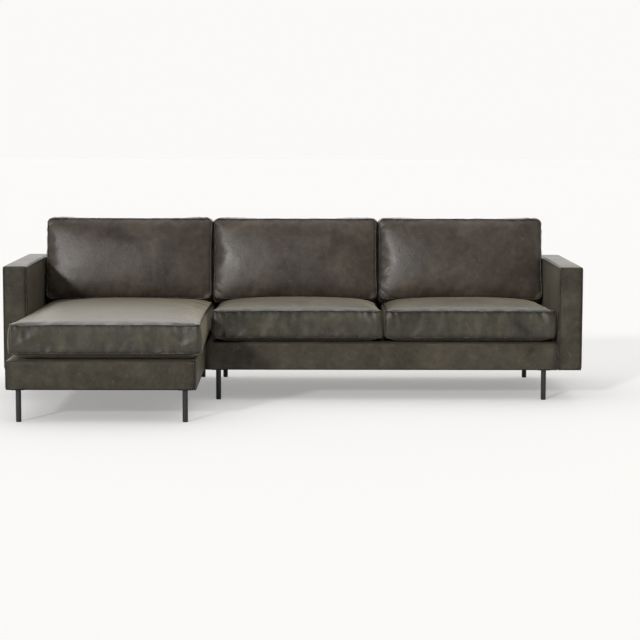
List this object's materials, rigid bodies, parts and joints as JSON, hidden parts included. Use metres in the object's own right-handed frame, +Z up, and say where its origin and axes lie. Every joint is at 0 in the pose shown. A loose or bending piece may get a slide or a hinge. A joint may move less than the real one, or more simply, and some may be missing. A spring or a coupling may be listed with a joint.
{
  "type": "corner sofa",
  "caption": "Low corner sofa in dark leather with a left chaise, loose boxed seat and back cushions, slim box arms and thin black legs.",
  "frame": {"origin": "on the floor, below the centre of the whole sofa's bounding box", "axes": "+X to the right as seen from the front, along the back; the front faces -Y; +Z up"},
  "size_m": [2.822, 1.593, 0.8571],
  "materials": {
    "leather": "satin",
    "cushion_fill": "matte",
    "foam": "matte",
    "lining": "matte",
    "webbing": "matte",
    "timber": "matte",
    "board": "matte",
    "leg_steel": "satin",
    "glide_plastic": "matte",
    "zinc_steel": "satin"
  },
  "bodies": {
    "frame": {"chaise_back_cover": "leather", "chaise_back_frame": "timber", "chaise_back_padding": "foam", "chaise_back_panels": "board", "chaise_base_cover": "leather", "chaise_base_padding": "foam", "chaise_cross_webbing": "webbing", "chaise_deck_lining": "lining", "chaise_deck_pad": "foam", "chaise_end_rails": "timber", "chaise_leg_blocks": "timber", "chaise_long_webbing": "webbing", "chaise_side_rails": "timber", "chaise_stretchers": "timber", "chaise_underside_lining": "lining", "connector_hooks": "zinc_steel", "connector_sockets": "zinc_steel", "left_arm_cover": "leather", "left_arm_frame": "timber", "left_arm_lining": "lining", "left_arm_padding": "foam", "left_arm_panels": "board", "leg_glides": "glide_plastic", "leg_plates": "leg_steel", "leg_tubes": "leg_steel", "right_arm_cover": "leather", "right_arm_frame": "timber", "right_arm_lining": "lining", "right_arm_padding": "foam", "right_arm_panels": "board", "two_seat_back_cover": "leather", "two_seat_back_frame": "timber", "two_seat_back_padding": "foam", "two_seat_back_panels": "board", "two_seat_base_cover": "leather", "two_seat_base_padding": "foam", "two_seat_cross_webbing": "webbing", "two_seat_deck_lining": "lining", "two_seat_deck_pad": "foam", "two_seat_end_rails": "timber", "two_seat_leg_blocks": "timber", "two_seat_long_webbing": "webbing", "two_seat_side_rails": "timber", "two_seat_stretchers": "timber", "two_seat_underside_lining": "lining"},
    "chaise_seat": {"chaise_seat_cover": "leather", "chaise_seat_fill": "cushion_fill"},
    "left_seat": {"left_seat_cover": "leather", "left_seat_fill": "cushion_fill"},
    "right_seat": {"right_seat_cover": "leather", "right_seat_fill": "cushion_fill"},
    "chaise_back_cushion": {"chaise_back_cushion_cover": "leather", "chaise_back_cushion_fill": "cushion_fill"},
    "left_back_cushion": {"left_back_cushion_cover": "leather", "left_back_cushion_fill": "cushion_fill"},
    "right_back_cushion": {"right_back_cushion_cover": "leather", "right_back_cushion_fill": "cushion_fill"}
  },
  "joints": [
    {"name": "chaise_seat_slide", "type": "slide", "parent": "frame", "child": "chaise_seat", "axis": [0, -1, 0], "range_m": [0, 1.5]},
    {"name": "left_seat_slide", "type": "slide", "parent": "frame", "child": "left_seat", "axis": [0, -1, 0], "range_m": [0, 0.8]},
    {"name": "right_seat_slide", "type": "slide", "parent": "frame", "child": "right_seat", "axis": [0, -1, 0], "range_m": [0, 0.8]},
    {"name": "chaise_back_cushion_lift", "type": "slide", "parent": "frame", "child": "chaise_back_cushion", "axis": [0, 0, 1], "range_m": [0, 0.45]},
    {"name": "left_back_cushion_lift", "type": "slide", "parent": "frame", "child": "left_back_cushion", "axis": [0, 0, 1], "range_m": [0, 0.45]},
    {"name": "right_back_cushion_lift", "type": "slide", "parent": "frame", "child": "right_back_cushion", "axis": [0, 0, 1], "range_m": [0, 0.45]}
  ]
}
